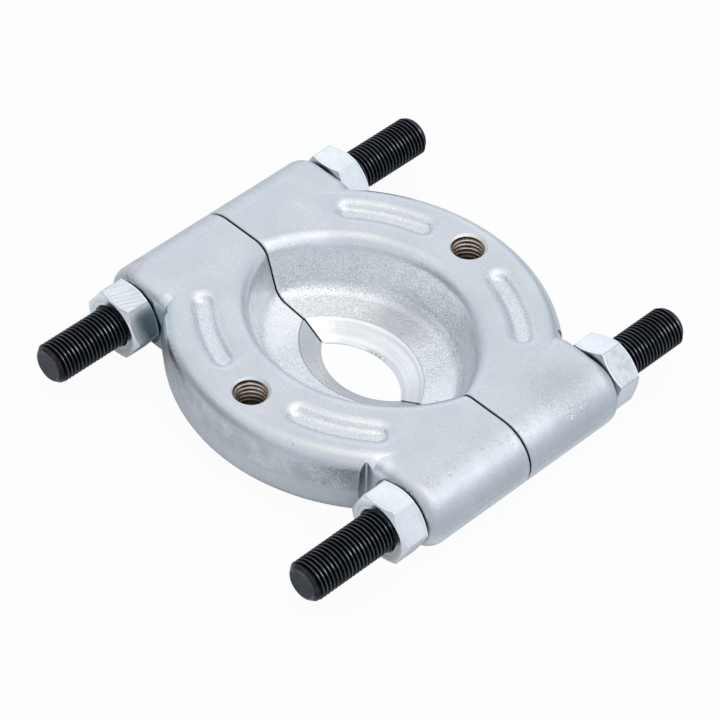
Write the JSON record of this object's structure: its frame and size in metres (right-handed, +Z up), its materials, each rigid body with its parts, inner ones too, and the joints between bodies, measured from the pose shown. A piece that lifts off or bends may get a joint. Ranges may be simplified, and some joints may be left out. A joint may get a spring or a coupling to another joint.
{
  "type": "bearing separator",
  "caption": "Forged half jaws with a stepped recess and knife-edge opening, drawn together on threaded studs by hexagon nuts, with threaded holes for puller bolts.",
  "frame": {"origin": "Middle of the closed jaws, where their split plane meets the plane midway between the studs, on the underside the tool rests on.", "axes": "+Y runs along the studs from the front jaw to the rear jaw, which is the way the jaws open. +X runs across the tool from the left stud to the right stud. +Z is up, out of the recess."},
  "size_m": [0.1506, 0.169, 0.025],
  "materials": {
    "plated_forging": "satin plated forging",
    "black_stud": "black oxide",
    "zinc_nut": "bright zinc plated"
  },
  "bodies": {
    "jaw_front": {"jaw_front": "plated_forging"},
    "jaw_rear": {"jaw_rear": "plated_forging"},
    "stud_left": {"stud_left": "black_stud"},
    "stud_right": {"stud_right": "black_stud"},
    "nut_front_left": {"nut_front_left": "zinc_nut"},
    "nut_front_right": {"nut_front_right": "zinc_nut"},
    "nut_rear_left": {"nut_rear_left": "zinc_nut"},
    "nut_rear_right": {"nut_rear_right": "zinc_nut"}
  },
  "joints": [
    {"name": "jaw_opening", "type": "slide", "parent": "jaw_front", "child": "jaw_rear", "axis": [0, 1, 0], "range_m": [0, 0.05]},
    {"name": "stud_left_slide", "type": "slide", "parent": "jaw_front", "child": "stud_left", "axis": [0, 1, 0], "range_m": [0, 0.025]},
    {"name": "stud_right_slide", "type": "slide", "parent": "jaw_front", "child": "stud_right", "axis": [0, 1, 0], "range_m": [0, 0.025]},
    {"name": "nut_front_left_turn", "type": "hinge", "parent": "jaw_front", "child": "nut_front_left", "pos_m": [-0.061, -0.042, 0.0125], "axis": [0, 1, 0], "range_deg": [-6001, 0]},
    {"name": "nut_front_right_turn", "type": "hinge", "parent": "jaw_front", "child": "nut_front_right", "pos_m": [0.061, -0.042, 0.0125], "axis": [0, 1, 0], "range_deg": [-6001, 0]},
    {"name": "nut_rear_left_turn", "type": "hinge", "parent": "jaw_rear", "child": "nut_rear_left", "pos_m": [-0.061, 0.042, 0.0125], "axis": [0, 1, 0], "range_deg": [0, 6001]},
    {"name": "nut_rear_right_turn", "type": "hinge", "parent": "jaw_rear", "child": "nut_rear_right", "pos_m": [0.061, 0.042, 0.0125], "axis": [0, 1, 0], "range_deg": [0, 6001]}
  ],
  "couplings": [
    {"joint": "stud_left_slide", "follows": "jaw_opening", "ratio": 0.5},
    {"joint": "stud_right_slide", "follows": "jaw_opening", "ratio": 0.5},
    {"joint": "nut_front_left_turn", "follows": "jaw_opening", "rad_per_m": -2094.4},
    {"joint": "nut_front_right_turn", "follows": "jaw_opening", "rad_per_m": -2094.4},
    {"joint": "nut_rear_left_turn", "follows": "jaw_opening", "rad_per_m": 2094.4},
    {"joint": "nut_rear_right_turn", "follows": "jaw_opening", "rad_per_m": 2094.4}
  ]
}
